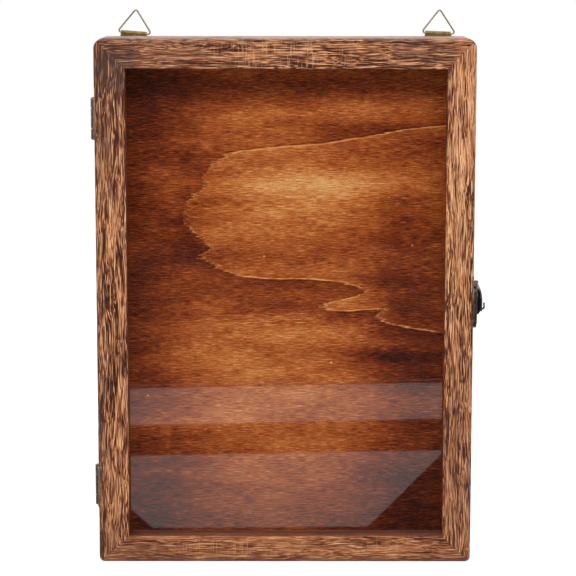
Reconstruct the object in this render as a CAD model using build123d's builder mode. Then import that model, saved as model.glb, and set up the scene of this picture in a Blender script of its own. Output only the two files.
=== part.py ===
from build123d import *
import math
import os

os.makedirs("parts", exist_ok=True)

# Frame: origin at the middle of the box's footprint, on the surface that it stands on.
# +Z is up, the door faces -Y, and its hinges are on the -X side.

# Overall size
box_width = 228.0
box_height = 320.0
case_depth = 30.0
door_thickness = 15.0
door_gap = 0.6
top_corner_radius = 6.0
bottom_corner_radius = 3.5

# Case boards and back panel
board_thickness = 9.0
case_edge_round = 0.8
panel_thickness = 3.0
rebate_width = 4.5
panel_clearance = 0.3

# Door members, as wide as the photograph shows them
top_rail_width = 18.1
bottom_rail_width = 16.5
left_stile_width = 18.7
right_stile_width = 17.5
door_outer_round = 2.5
door_inner_round = 0.6

# Glazing
lip_depth = 7.7
glass_thickness = 2.0
glazing_rebate = 4.0
glass_clearance = 0.5
bead_setback = 0.5

# Brads and panel pins
brad_radius = 0.6
brad_head_radius = 0.95
brad_head_height = 0.6
brad_length = 15.0
brad_inset = 6.0
case_brad_from_front = 6.0
case_brad_from_back = 15.0
panel_pin_length = 9.0
panel_pin_margin = 38.0
panel_pins_a_side = 4
glazing_pin_length = 8.0
glazing_pin_inset = 30.0

# Hinges
hinge_length = 25.0
hinge_leaf_width = 9.5
hinge_leaf_thickness = 0.8
hinge_middle_knuckle = 12.2
hinge_end_gap = 0.3
knuckle_radius = 1.45
knuckle_to_wood = 0.25
hinge_pin_radius = 0.6
pin_running_clearance = 0.05
pin_head_radius = 1.0
pin_head_height = 0.35
knuckle_notch_clearance = 0.45
upper_hinge_from_top = 48.5
lower_hinge_height = 45.5
leaf_corner_radius = 0.8

# Countersunk hinge screws
hinge_screw_radius = 0.9
hinge_screw_head_radius = 1.65
hinge_screw_length = 7.5
hinge_screw_spacing = 14.0
hinge_screw_setback = 5.6
screw_slot_width = 0.4
screw_slot_depth = 0.35

# Latch: pressed plates, the flap's side mounted a little higher than the catch
latch_above_middle = 1.0
catch_drop = 1.5
latch_sheet = 0.8
latch_plate_rise = 2.2
latch_plate_round = 0.5
latch_ear_shift = 5.2
latch_ear_radius = 3.4
latch_ear_overhang = 0.8
latch_plate_length = 19.0
latch_plate_margin = 0.55
catch_plate_length = 12.2
latch_plate_gap = 0.9
latch_corner_radius = 2.0
latch_knuckle_lift = 0.35
latch_axis_back = 14.2
latch_knuckle_radius = 1.35
latch_pin_radius = 0.6
latch_middle_knuckle = 8.0
latch_knuckle_gap = 0.3
flap_width = 19.5
flap_taper = 2.5
flap_crown = 6.4
flap_front_crown = 6.1
flap_lift = 0.5
flap_reach = 19.4
flap_nose_radius = 6.0
flap_notch_clearance = 0.75
catch_width = 8.3
catch_bend_radius = 0.7
ramp_foot_setback = 0.8
ramp_foot_length = 1.9
ramp_run = 2.6
ramp_height = 5.6
brow_length = 3.0
hook_wire = 0.9
hook_reach = 1.6
hook_span = 4.2
hook_depth = 2.2
hook_drop = 1.0

# Round-head nails of the latch
nail_radius = 0.6
nail_head_radius = 1.5
nail_head_height = 0.7
nail_length = 8.5

# Hangers
hanger_insets = {"left": 21.3, "right": 20.1}
hanger_tilts = {"left": 4.5, "right": 2.2}
ring_slip = 0.2
strap_width = 16.4
strap_thickness = 0.6
strap_length = 13.0
strap_fold = 3.6
ring_loop_clearance = 0.25
loop_rise = 1.6
ring_wire_radius = 0.5
ring_side_clearance = 1.25
ring_height = 13.3
ring_corner_radius = 1.2
ring_apex_radius = 1.5
hanger_screw_radius = 1.0
hanger_screw_head_radius = 1.9
hanger_screw_head_height = 0.9
hanger_screw_spacing = 9.0
hanger_screw_drop = 8.4
hanger_screw_length = 11.0

# Places that follow from the sizes above
half_width = box_width / 2
total_depth = case_depth + door_gap + door_thickness
back_y = total_depth / 2
case_front_y = back_y - case_depth
door_back_y = case_front_y - door_gap
door_front_y = door_back_y - door_thickness
glass_front_y = door_front_y + lip_depth
glass_back_y = glass_front_y + glass_thickness
opening_left = -half_width + left_stile_width
opening_right = half_width - right_stile_width
opening_bottom = bottom_rail_width
opening_top = box_height - top_rail_width
hinge_axis_x = -half_width - knuckle_to_wood - knuckle_radius
hinge_axis_y = (case_front_y + door_back_y) / 2
hinge_heights = {"upper": box_height - upper_hinge_from_top, "lower": lower_hinge_height}
knuckle_notch = knuckle_radius + knuckle_notch_clearance
latch_height = box_height / 2 + latch_above_middle
catch_height = latch_height - catch_drop
latch_plate_body = flap_width + 2 * latch_plate_margin
latch_ear_spacing = latch_plate_body + 2 * latch_ear_overhang
latch_axis_y = case_front_y + latch_axis_back
latch_axis_height = latch_plate_rise + latch_knuckle_lift + latch_knuckle_radius
flap_foot = latch_plate_rise + flap_lift
flap_notch = latch_knuckle_radius + flap_notch_clearance
hook_height = ramp_height + hook_reach
hanger_places = {"left": hanger_insets["left"] - half_width, "right": half_width - hanger_insets["right"]}
loop_inner_radius = ring_wire_radius + ring_loop_clearance
loop_outer_radius = loop_inner_radius + strap_thickness
loop_axis_z = box_height + loop_rise

# How a fastener stands on its plane: down into the wood, or up from it
top_down = (Align.CENTER, Align.CENTER, Align.MAX)
bottom_up = (Align.CENTER, Align.CENTER, Align.MIN)


def write_part(node, label):
    """Label one finished piece and write it under its node name."""
    node.part.label = label
    export_step(node.part, f"parts/{label}.step")


def outline(corners, top_radius, bottom_radius):
    """Face of the box's outline in the open sketch, with rounded corners."""
    Polygon(*corners, align=None)
    fillet(vertices().sort_by(Axis.Y)[-2:], top_radius)
    fillet(vertices().sort_by(Axis.Y)[:2], bottom_radius)


def side_plane(side, y, z):
    """Plane on a side face of the box, its normal pointing out of the wood."""
    return Plane(origin=(side * half_width, y, z), x_dir=(0, 1, 0), z_dir=(side, 0, 0))


def back_plane(x, z):
    """Plane on the back face of the box, its normal pointing backwards."""
    return Plane(origin=(x, back_y, z), x_dir=(1, 0, 0), z_dir=(0, 1, 0))


# Where the fasteners go
end_heights = (brad_inset, box_height - brad_inset)
case_brad_ys = (case_front_y + case_brad_from_front, back_y - case_brad_from_back)
door_brad_ys = (door_front_y + lip_depth / 2, door_front_y + lip_depth + glass_thickness)
case_brad_planes = [side_plane(s, y, z) for s in (-1, 1) for z in end_heights for y in case_brad_ys]
door_brad_planes = [side_plane(s, y, z) for s in (-1, 1) for z in end_heights for y in door_brad_ys]

panel_edge = half_width - rebate_width / 2 - board_thickness / 2
panel_pin_step = (box_height - 2 * panel_pin_margin) / (panel_pins_a_side - 1)
panel_pin_heights = [panel_pin_margin + i * panel_pin_step for i in range(panel_pins_a_side)]
panel_pin_planes = [back_plane(s * panel_edge, z) for s in (-1, 1) for z in panel_pin_heights]
panel_pin_end = board_thickness / 2 + rebate_width / 2
panel_pin_ends = (panel_pin_end, box_height - panel_pin_end)
panel_pin_planes += [back_plane(x, z) for z in panel_pin_ends for x in (-box_width / 4, 0, box_width / 4)]

bead_middle_y = (glass_back_y + door_back_y) / 2
bead_width = glazing_rebate - bead_setback
bead_left = opening_left - bead_setback
bead_right = opening_right + bead_setback
bead_bottom = opening_bottom - bead_setback
bead_top = opening_top + bead_setback


def glazing_plane(x, z, normal):
    """Plane on the inner edge of a glazing bead, its normal pointing into the opening."""
    return Plane(origin=(x, bead_middle_y, z), x_dir=(0, 1, 0), z_dir=normal)


glazing_heights = (opening_bottom + glazing_pin_inset, box_height / 2, opening_top - glazing_pin_inset)
glazing_places = (opening_left + glazing_pin_inset, opening_right - glazing_pin_inset)
glazing_pin_planes = [glazing_plane(bead_left, z, (1, 0, 0)) for z in glazing_heights]
glazing_pin_planes += [glazing_plane(bead_right, z, (-1, 0, 0)) for z in glazing_heights]
glazing_pin_planes += [glazing_plane(x, bead_bottom, (0, 0, 1)) for x in glazing_places]
glazing_pin_planes += [glazing_plane(x, bead_top, (0, 0, -1)) for x in glazing_places]


def hinge_screw_planes(direction):
    """Planes on the outer face of the hinge leaves: direction 1 for the case, -1 for the door."""
    planes = []
    for height in hinge_heights.values():
        for shift in (-hinge_screw_spacing / 2, hinge_screw_spacing / 2):
            plane = side_plane(-1, hinge_axis_y + direction * hinge_screw_setback, height + shift)
            planes.append(plane.offset(hinge_leaf_thickness))
    return planes


latch_plate_front = case_front_y + latch_plate_gap
latch_plate_middle = latch_plate_front + latch_plate_length / 2
catch_plate_back = door_back_y - latch_plate_gap
catch_plate_middle = catch_plate_back - catch_plate_length / 2


def latch_nail_planes(y, height):
    """Planes on the two ears of a latch plate, the ears at y and the plate's middle at the height."""
    shifts = (-latch_ear_spacing / 2, latch_ear_spacing / 2)
    return [side_plane(1, y, height + shift).offset(latch_plate_rise) for shift in shifts]


latch_plate_nail_planes = latch_nail_planes(latch_plate_middle + latch_ear_shift, latch_height)
latch_catch_nail_planes = latch_nail_planes(catch_plate_middle, catch_height)


def hanger_plane(side):
    """Plane on the back of the box, at the height of a strap's loop, its local Y down the strap."""
    tilt = math.radians(hanger_tilts[side])
    middle = (hanger_places[side], back_y, loop_axis_z)
    return Plane(origin=middle, x_dir=(math.cos(tilt), 0, -math.sin(tilt)), z_dir=(0, 1, 0))


hanger_screw_places = [(s * hanger_screw_spacing / 2, hanger_screw_drop) for s in (-1, 1)]


def drill_hanger_holes(depth):
    """Screw holes of both hangers, drilled from the back of the box into the open part."""
    for side in hanger_tilts:
        with Locations(hanger_plane(side)):
            with Locations(*hanger_screw_places):
                Hole(hanger_screw_radius, depth)


def bore(planes, radius, depth):
    """Blind round holes at the given planes of the open part."""
    with Locations(*planes):
        Hole(radius, depth)


# Case: one rounded and rebated frame, cut into its four mitred boards
box_corners = [(-half_width, 0), (half_width, 0), (half_width, box_height), (-half_width, box_height)]
inner_half = half_width - board_thickness
inner_bottom = board_thickness
inner_top = box_height - board_thickness

with BuildPart() as case_blank:
    with BuildSketch(Plane.XZ.offset(-back_y)):
        outline(box_corners, top_corner_radius, bottom_corner_radius)
    extrude(amount=case_depth)
    back_edges = case_blank.faces().sort_by(Axis.Y)[-1].edges()
    fillet(back_edges, case_edge_round)
    with BuildSketch(Plane.XZ.offset(-back_y)):
        with Locations((0, box_height / 2)):
            Rectangle(2 * inner_half, inner_top - inner_bottom)
    extrude(amount=case_depth, mode=Mode.SUBTRACT)
    with BuildSketch(Plane.XZ.offset(-back_y)):
        with Locations((0, box_height / 2)):
            Rectangle(box_width - 2 * rebate_width, box_height - 2 * rebate_width)
    extrude(amount=panel_thickness, mode=Mode.SUBTRACT)
    bore(case_brad_planes, brad_radius, brad_length)
    bore(case_brad_planes, brad_head_radius, brad_head_height)
    bore(panel_pin_planes, brad_radius, panel_pin_length)
    bore(hinge_screw_planes(1), hinge_screw_radius, hinge_screw_length)
    bore(latch_plate_nail_planes, nail_radius, nail_length)
    drill_hanger_holes(hanger_screw_length)

case_inner = {
    "bottom": ((-inner_half, inner_bottom), (inner_half, inner_bottom)),
    "top": ((inner_half, inner_top), (-inner_half, inner_top)),
    "left": ((-inner_half, inner_top), (-inner_half, inner_bottom)),
    "right": ((inner_half, inner_bottom), (inner_half, inner_top)),
}
door_inner = {
    "bottom": ((opening_left, opening_bottom), (opening_right, opening_bottom)),
    "top": ((opening_right, opening_top), (opening_left, opening_top)),
    "left": ((opening_left, opening_top), (opening_left, opening_bottom)),
    "right": ((opening_right, opening_bottom), (opening_right, opening_top)),
}
outer_edges = {
    "bottom": (box_corners[1], box_corners[0]),
    "top": (box_corners[3], box_corners[2]),
    "left": (box_corners[0], box_corners[3]),
    "right": (box_corners[2], box_corners[1]),
}


def mitred_member(blank, inner, side):
    """One mitred member of a frame: the blank between the two mitre planes of its side."""
    with BuildPart() as member:
        add(blank.part)
        with BuildSketch(Plane.XZ):
            with BuildLine():
                Polyline(*inner[side], *outer_edges[side], close=True)
            make_face()
        extrude(amount=total_depth, both=True, mode=Mode.INTERSECT)
    return member


for side in case_inner:
    write_part(mitred_member(case_blank, case_inner, side), f"case_{side}_board")

with BuildPart() as case_corner_brads:
    with Locations(*case_brad_planes):
        Cylinder(brad_radius, brad_length, align=top_down)
        Cylinder(brad_head_radius, brad_head_height, align=top_down)
write_part(case_corner_brads, "case_corner_brads")

# Back panel, let into the rebate and pinned from behind
with BuildPart() as back_panel:
    with BuildSketch(Plane.XZ.offset(-back_y)):
        with Locations((0, box_height / 2)):
            panel_cut = 2 * (rebate_width + panel_clearance)
            Rectangle(box_width - panel_cut, box_height - panel_cut)
    extrude(amount=panel_thickness)
    bore(panel_pin_planes, brad_radius, panel_thickness)
    bore(panel_pin_planes, brad_head_radius, brad_head_height)
    drill_hanger_holes(panel_thickness)
write_part(back_panel, "back_panel")

with BuildPart() as back_panel_pins:
    with Locations(*panel_pin_planes):
        Cylinder(brad_radius, panel_pin_length, align=top_down)
        Cylinder(brad_head_radius, brad_head_height, align=top_down)
write_part(back_panel_pins, "back_panel_pins")

# Door: one rounded frame with its glazing rebate, cut into two rails and two stiles
opening_width = opening_right - opening_left
opening_height = opening_top - opening_bottom
opening_middle = ((opening_left + opening_right) / 2, (opening_bottom + opening_top) / 2)

with BuildPart() as door_blank:
    with BuildSketch(Plane.XZ.offset(-door_back_y)):
        outline(box_corners, top_corner_radius, bottom_corner_radius)
    extrude(amount=door_thickness)
    front_edges = door_blank.faces().sort_by(Axis.Y)[0].edges()
    fillet(front_edges, door_outer_round)
    with BuildSketch(Plane.XZ.offset(-door_back_y)):
        with Locations(opening_middle):
            Rectangle(opening_width, opening_height)
    extrude(amount=door_thickness, mode=Mode.SUBTRACT)
    with BuildSketch(Plane.XZ.offset(-door_back_y)):
        with Locations(opening_middle):
            Rectangle(opening_width + 2 * glazing_rebate, opening_height + 2 * glazing_rebate)
    extrude(amount=door_thickness - lip_depth, mode=Mode.SUBTRACT)
    bore(door_brad_planes, brad_radius, brad_length)
    bore(door_brad_planes, brad_head_radius, brad_head_height)
    bore(glazing_pin_planes, brad_radius, glazing_pin_length)
    bore(hinge_screw_planes(-1), hinge_screw_radius, hinge_screw_length)
    bore(latch_catch_nail_planes, nail_radius, nail_length)

door_names = {"top": "door_top_rail", "bottom": "door_bottom_rail"}
door_names |= {"left": "door_left_stile", "right": "door_right_stile"}
for side, label in door_names.items():
    with BuildPart() as door_member:
        add(mitred_member(door_blank, door_inner, side).part)
        front_face = door_member.faces().sort_by(Axis.Y)[0]
        lip_edge = front_face.edges().sort_by_distance((0, door_front_y, box_height / 2))[0]
        fillet(lip_edge, door_inner_round)
    write_part(door_member, label)

with BuildPart() as door_corner_brads:
    with Locations(*door_brad_planes):
        Cylinder(brad_radius, brad_length, align=top_down)
        Cylinder(brad_head_radius, brad_head_height, align=top_down)
write_part(door_corner_brads, "door_corner_brads")

# Glass against the lip, with four beads behind it
with BuildPart() as glass_pane:
    with BuildSketch(Plane.XZ.offset(-glass_back_y)):
        with Locations(opening_middle):
            spare = 2 * (glazing_rebate - glass_clearance)
            Rectangle(opening_width + spare, opening_height + spare)
    extrude(amount=glass_thickness)
write_part(glass_pane, "glass_pane")

bead_thickness = door_back_y - glass_back_y
bead_boxes = {
    "bottom": (bead_left - bead_width, bead_right + bead_width, bead_bottom - bead_width, bead_bottom),
    "top": (bead_left - bead_width, bead_right + bead_width, bead_top, bead_top + bead_width),
    "left": (bead_left - bead_width, bead_left, bead_bottom, bead_top),
    "right": (bead_right, bead_right + bead_width, bead_bottom, bead_top),
}
for side, (low_x, high_x, low_z, high_z) in bead_boxes.items():
    with BuildPart() as glazing_bead:
        with BuildSketch(Plane.XZ.offset(-door_back_y)):
            with Locations(((low_x + high_x) / 2, (low_z + high_z) / 2)):
                Rectangle(high_x - low_x, high_z - low_z)
        extrude(amount=bead_thickness)
        bore(glazing_pin_planes, brad_radius, glazing_pin_length)
    write_part(glazing_bead, f"glazing_bead_{side}")

with BuildPart() as glazing_pins:
    with Locations(*glazing_pin_planes):
        Cylinder(brad_radius, glazing_pin_length, align=top_down)
write_part(glazing_pins, "glazing_pins")

# Hinges: the case leaf has the two end knuckles, the door leaf the middle one
half_hinge = hinge_length / 2
half_middle = hinge_middle_knuckle / 2


def hinge_leaf(height, direction, knuckle_spans, notch_spans, bore_radius):
    """A leaf on the left side face with its knuckles: direction 1 for the case, -1 for the door."""
    middle_y = hinge_axis_y + direction * hinge_leaf_width / 2
    with BuildPart() as leaf:
        with BuildSketch(side_plane(-1, middle_y, height)):
            Rectangle(hinge_leaf_width, hinge_length)
        extrude(amount=hinge_leaf_thickness)
        free_end = leaf.edges().filter_by(Axis.X).group_by(Axis.Y)[-1 if direction > 0 else 0]
        fillet(free_end, leaf_corner_radius)
        for low, high in notch_spans:
            with BuildSketch(side_plane(-1, hinge_axis_y, height + (low + high) / 2)):
                Rectangle(2 * knuckle_notch, high - low)
            extrude(amount=hinge_leaf_thickness, mode=Mode.SUBTRACT)
        for low, high in knuckle_spans:
            with BuildSketch(Plane.XY.offset(height + low)):
                with Locations((hinge_axis_x, hinge_axis_y)):
                    Circle(knuckle_radius)
            extrude(amount=high - low)
        with BuildSketch(Plane.XY.offset(height - half_hinge)):
            with Locations((hinge_axis_x, hinge_axis_y)):
                Circle(bore_radius)
        extrude(amount=hinge_length, mode=Mode.SUBTRACT)
        with Locations(*hinge_screw_planes(direction)):
            CounterSinkHole(hinge_screw_radius, hinge_screw_head_radius, hinge_leaf_thickness)
    return leaf


end_spans = [(-half_hinge, -half_middle - hinge_end_gap), (half_middle + hinge_end_gap, half_hinge)]
middle_notch = [(-half_middle - hinge_end_gap, half_middle + hinge_end_gap)]
end_notches = [(-half_hinge, -half_middle), (half_middle, half_hinge)]
middle_span = [(-half_middle, half_middle)]
door_bore_radius = hinge_pin_radius + pin_running_clearance

for name, height in hinge_heights.items():
    case_leaf = hinge_leaf(height, 1, end_spans, middle_notch, hinge_pin_radius)
    write_part(case_leaf, f"{name}_hinge_case_leaf")
    door_leaf = hinge_leaf(height, -1, middle_span, end_notches, door_bore_radius)
    write_part(door_leaf, f"{name}_hinge_door_leaf")
    with BuildPart() as hinge_pin:
        with BuildSketch(Plane.XY.offset(height - half_hinge)):
            with Locations((hinge_axis_x, hinge_axis_y)):
                Circle(hinge_pin_radius)
        extrude(amount=hinge_length)
        pin_ends = ((height + half_hinge, pin_head_height), (height - half_hinge, -pin_head_height))
        for level, rise in pin_ends:
            with BuildSketch(Plane.XY.offset(level)):
                with Locations((hinge_axis_x, hinge_axis_y)):
                    Circle(pin_head_radius)
            extrude(amount=rise)
    write_part(hinge_pin, f"{name}_hinge_pin")


def countersunk_screws(planes):
    """Slotted countersunk screws, their heads level with the planes."""
    cone_height = hinge_screw_head_radius - hinge_screw_radius
    with BuildPart() as screws:
        with Locations(*planes):
            Cylinder(hinge_screw_radius, hinge_screw_length, align=top_down)
            Cone(hinge_screw_radius, hinge_screw_head_radius, cone_height, align=top_down)
            slot_length = 2 * hinge_screw_head_radius
            Box(slot_length, screw_slot_width, screw_slot_depth, align=top_down, mode=Mode.SUBTRACT)
    return screws


write_part(countersunk_screws(hinge_screw_planes(1)), "hinge_case_screws")
write_part(countersunk_screws(hinge_screw_planes(-1)), "hinge_door_screws")

# Latch plates: a rounded body with an ear above and below it for the nails


def pressed_plate(y, height, length, ear_shift):
    """Pressed latch plate on the right side face, hollow behind, with an ear above and below."""
    ears = [(ear_shift, latch_ear_spacing / 2), (ear_shift, -latch_ear_spacing / 2)]
    with BuildPart() as ear:
        Cylinder(latch_ear_radius, latch_plate_rise, align=bottom_up)
        fillet(ear.edges().group_by(Axis.Z)[-1], latch_plate_round)
    with BuildPart() as plate:
        with BuildSketch(side_plane(1, y, height)):
            Rectangle(length, latch_plate_body)
            fillet(vertices(), latch_corner_radius)
        extrude(amount=latch_plate_rise)
        fillet(plate.faces().sort_by(Axis.X)[-1].edges(), latch_plate_round)
        with Locations(side_plane(1, y, height)):
            with Locations(*ears):
                add(ear.part)
        with BuildSketch(side_plane(1, y, height)):
            Rectangle(length - 2 * latch_sheet, latch_plate_body - 2 * latch_sheet)
            fillet(vertices(), latch_corner_radius - latch_sheet)
            with Locations(*ears):
                Circle(latch_ear_radius - latch_sheet)
        extrude(amount=latch_plate_rise - latch_sheet, mode=Mode.SUBTRACT)
    return plate.part


def latch_plane(u):
    """Plane square to the latch's pivot, at the height u above or below its middle."""
    return Plane(origin=(half_width, latch_axis_y, latch_height + u), x_dir=(1, 0, 0), z_dir=(0, 0, 1))


half_latch_middle = latch_middle_knuckle / 2
with BuildPart() as latch_plate:
    add(pressed_plate(latch_plate_middle, latch_height, latch_plate_length, latch_ear_shift))
    with BuildSketch(latch_plane(-half_latch_middle)):
        with Locations((latch_axis_height, 0)):
            Circle(latch_knuckle_radius)
        web_foot = latch_plate_rise - latch_sheet
        web_middle = (web_foot + latch_axis_height) / 2
        with Locations((web_middle, latch_knuckle_radius - latch_sheet / 2)):
            Rectangle(latch_axis_height - web_foot, latch_sheet)
    extrude(amount=latch_middle_knuckle)
    with BuildSketch(latch_plane(-half_latch_middle)):
        with Locations((latch_axis_height, 0)):
            Circle(latch_pin_radius)
    extrude(amount=latch_middle_knuckle, mode=Mode.SUBTRACT)
    bore(latch_plate_nail_planes, nail_radius, latch_plate_rise)
write_part(latch_plate, "latch_plate")

half_flap = flap_width / 2
with BuildPart() as latch_pivot_pin:
    with BuildSketch(latch_plane(-half_flap)):
        with Locations((latch_axis_height, 0)):
            Circle(latch_pin_radius)
    extrude(amount=flap_width)
write_part(latch_pivot_pin, "latch_pivot_pin")


def arch_section(y, half, crown, foot):
    """Thin arched face of the flap in the plane at y: half an ellipse, its feet at the given height."""
    section_plane = Plane(origin=(half_width + foot, y, latch_height), x_dir=(0, 0, 1), z_dir=(0, 1, 0))
    rise = crown - foot
    with BuildSketch(section_plane) as section:
        with BuildLine():
            outer = EllipticalCenterArc((0, 0), half, rise, arc_size=180)
            inner = EllipticalCenterArc((0, 0), half - latch_sheet, rise - latch_sheet, arc_size=180)
            Line(outer @ 0, inner @ 0)
            Line(outer @ 1, inner @ 1)
        make_face()
    return section.sketch


sheet_top = latch_axis_height + latch_knuckle_radius
flap_front_y = latch_axis_y - flap_reach
with BuildPart() as latch_flap:
    root = arch_section(latch_axis_y, half_flap, sheet_top, latch_axis_height)
    crest = arch_section(latch_axis_y - flap_reach / 2, half_flap, flap_crown, flap_foot)
    mouth = arch_section(flap_front_y, half_flap - flap_taper / 2, flap_front_crown, flap_foot)
    loft([root, crest, mouth])
    flap_top = side_plane(1, (latch_axis_y + flap_front_y) / 2, latch_height)
    with BuildSketch(flap_top):
        Rectangle(flap_reach, flap_width)
        nose = vertices().group_by(Axis.Y)[0]
        fillet(nose, flap_nose_radius)
    extrude(amount=2 * flap_crown, mode=Mode.INTERSECT)
    half_gap = half_latch_middle + latch_knuckle_gap
    for low, high in ((-half_flap, -half_gap), (half_gap, half_flap)):
        with BuildSketch(latch_plane(low)):
            with Locations((latch_axis_height, 0)):
                Circle(latch_knuckle_radius)
        extrude(amount=high - low)
    with BuildSketch(side_plane(1, latch_axis_y, latch_height)):
        Rectangle(2 * flap_notch, 2 * half_gap)
    extrude(amount=2 * flap_crown, mode=Mode.SUBTRACT)
    with BuildSketch(latch_plane(-half_flap)):
        with Locations((latch_axis_height, 0)):
            Circle(latch_pin_radius + pin_running_clearance)
    extrude(amount=flap_width, mode=Mode.SUBTRACT)
write_part(latch_flap, "latch_flap")

# Catch: a plate with a tongue that ramps out under the flap and ends in a turned-up hook
ramp_foot_y = catch_plate_back - ramp_foot_setback
ramp_top_y = ramp_foot_y - ramp_foot_length - ramp_run


def catch_strip(points, width):
    """Side face of a bent strip of the catch: a thick line through (height, y) points."""
    strip_plane = Plane(origin=(half_width, 0, catch_height - width / 2), x_dir=(1, 0, 0), z_dir=(0, 0, 1))
    with BuildSketch(strip_plane) as strip:
        with BuildLine() as bent:
            FilletPolyline(*points, radius=catch_bend_radius)
        trace(bent.line, line_width=latch_sheet)
    return strip.sketch


with BuildPart() as latch_catch:
    add(pressed_plate(catch_plate_middle, catch_height, catch_plate_length, 0))
    plate_skin = latch_plate_rise - latch_sheet / 2
    brow_height = ramp_height - latch_sheet / 2
    heel = (plate_skin, ramp_foot_y)
    toe = (plate_skin, ramp_foot_y - ramp_foot_length)
    shoulder = (brow_height, ramp_top_y)
    brow = (brow_height, ramp_top_y - brow_length)
    extrude(catch_strip([heel, toe, shoulder, brow], catch_width), amount=catch_width)
    hook_middle = (half_width, brow[1], catch_height - hook_drop)
    hook_plane = Plane(origin=hook_middle, x_dir=(1, 0, 0), z_dir=(0, 1, 0))
    with BuildSketch(hook_plane):
        with BuildLine() as hook_line:
            low = hook_span / 2 - hook_wire / 2
            outer = hook_height - hook_wire / 2
            FilletPolyline((brow_height, low), (outer, low), (outer, -hook_span / 2), radius=hook_wire)
        trace(hook_line.line, line_width=hook_wire)
    extrude(amount=hook_depth)
    bore(latch_catch_nail_planes, nail_radius, latch_plate_rise)
write_part(latch_catch, "latch_catch")


def round_head_nails(planes):
    """Nails with domed heads that sit on the planes."""
    dome_radius = (nail_head_radius**2 + nail_head_height**2) / (2 * nail_head_height)
    with BuildPart() as nails:
        with Locations(*planes):
            Cylinder(nail_radius, nail_length, align=top_down)
        for plane in planes:
            with BuildSketch(Plane(origin=plane.origin, x_dir=plane.x_dir, z_dir=plane.y_dir)) as profile:
                with BuildLine():
                    rim = (nail_head_radius, 0)
                    top = (0, -nail_head_height)
                    Line((0, 0), rim)
                    RadiusArc(rim, top, dome_radius)
                    Line(top, (0, 0))
                make_face()
            revolve(axis=Axis(plane.origin, plane.z_dir))
    return nails


write_part(round_head_nails(latch_plate_nail_planes), "latch_plate_nails")
write_part(round_head_nails(latch_catch_nail_planes), "latch_catch_nails")

# Hangers: a strap folded over the bar of a triangle ring, screwed to the back
for side in hanger_tilts:
    flat = hanger_plane(side)
    edge_on = Plane(origin=flat.origin, x_dir=flat.z_dir, z_dir=flat.x_dir)
    with BuildPart() as hanger_strap:
        with BuildSketch(edge_on):
            with BuildLine():
                front = strap_thickness
                back = 2 * strap_thickness
                Polyline(
                    (0, 0),
                    (0, -strap_length),
                    (back, -strap_length),
                    (back, -strap_fold),
                    (2 * loop_outer_radius, 0),
                    close=True,
                )
            make_face()
            with Locations((loop_outer_radius, 0)):
                Circle(loop_outer_radius)
            with BuildLine():
                Polyline(
                    (front, 0),
                    (front, -strap_fold + front),
                    (2 * loop_outer_radius - strap_thickness, 0),
                    close=True,
                )
            make_face(mode=Mode.SUBTRACT)
            with Locations((loop_outer_radius, 0)):
                Circle(loop_inner_radius, mode=Mode.SUBTRACT)
        extrude(amount=strap_width / 2, both=True)
        with BuildSketch(flat):
            with Locations(*hanger_screw_places):
                Circle(hanger_screw_radius)
        extrude(amount=2 * strap_thickness, mode=Mode.SUBTRACT)
    write_part(hanger_strap, f"{side}_hanger_strap")

    ring_plane = flat.offset(loop_outer_radius)
    with BuildPart() as hanger_ring:
        with BuildLine(ring_plane) as ring_path:
            corner_reach = strap_width / 2 + ring_side_clearance + ring_corner_radius
            FilletPolyline(
                (ring_slip - corner_reach, 0),
                (ring_slip + corner_reach, 0),
                (ring_slip, -ring_height - ring_apex_radius),
                radius=ring_corner_radius,
                close=True,
            )
        start = ring_path.line @ 0
        with BuildSketch(Plane(origin=start, z_dir=ring_path.line % 0)):
            Circle(ring_wire_radius)
        sweep(path=ring_path.line)
    write_part(hanger_ring, f"{side}_hanger_ring")

with BuildPart() as hanger_screws:
    for side in hanger_tilts:
        with Locations(hanger_plane(side).offset(2 * strap_thickness)):
            with Locations(*hanger_screw_places):
                Cylinder(hanger_screw_radius, hanger_screw_length, align=top_down)
                Cylinder(hanger_screw_head_radius, hanger_screw_head_height, align=bottom_up)
                with Locations((0, 0, hanger_screw_head_height)):
                    slot_length = 2 * hanger_screw_head_radius
                    Box(slot_length, screw_slot_width, screw_slot_depth, align=top_down, mode=Mode.SUBTRACT)
write_part(hanger_screws, "hanger_screws")
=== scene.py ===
"""Looks of the specimen display box: scorched wood, stained plywood, glass and aged metal."""

import math

import bmesh
import bpy
import numpy as np
from mathutils import Matrix, Vector, noise


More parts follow.
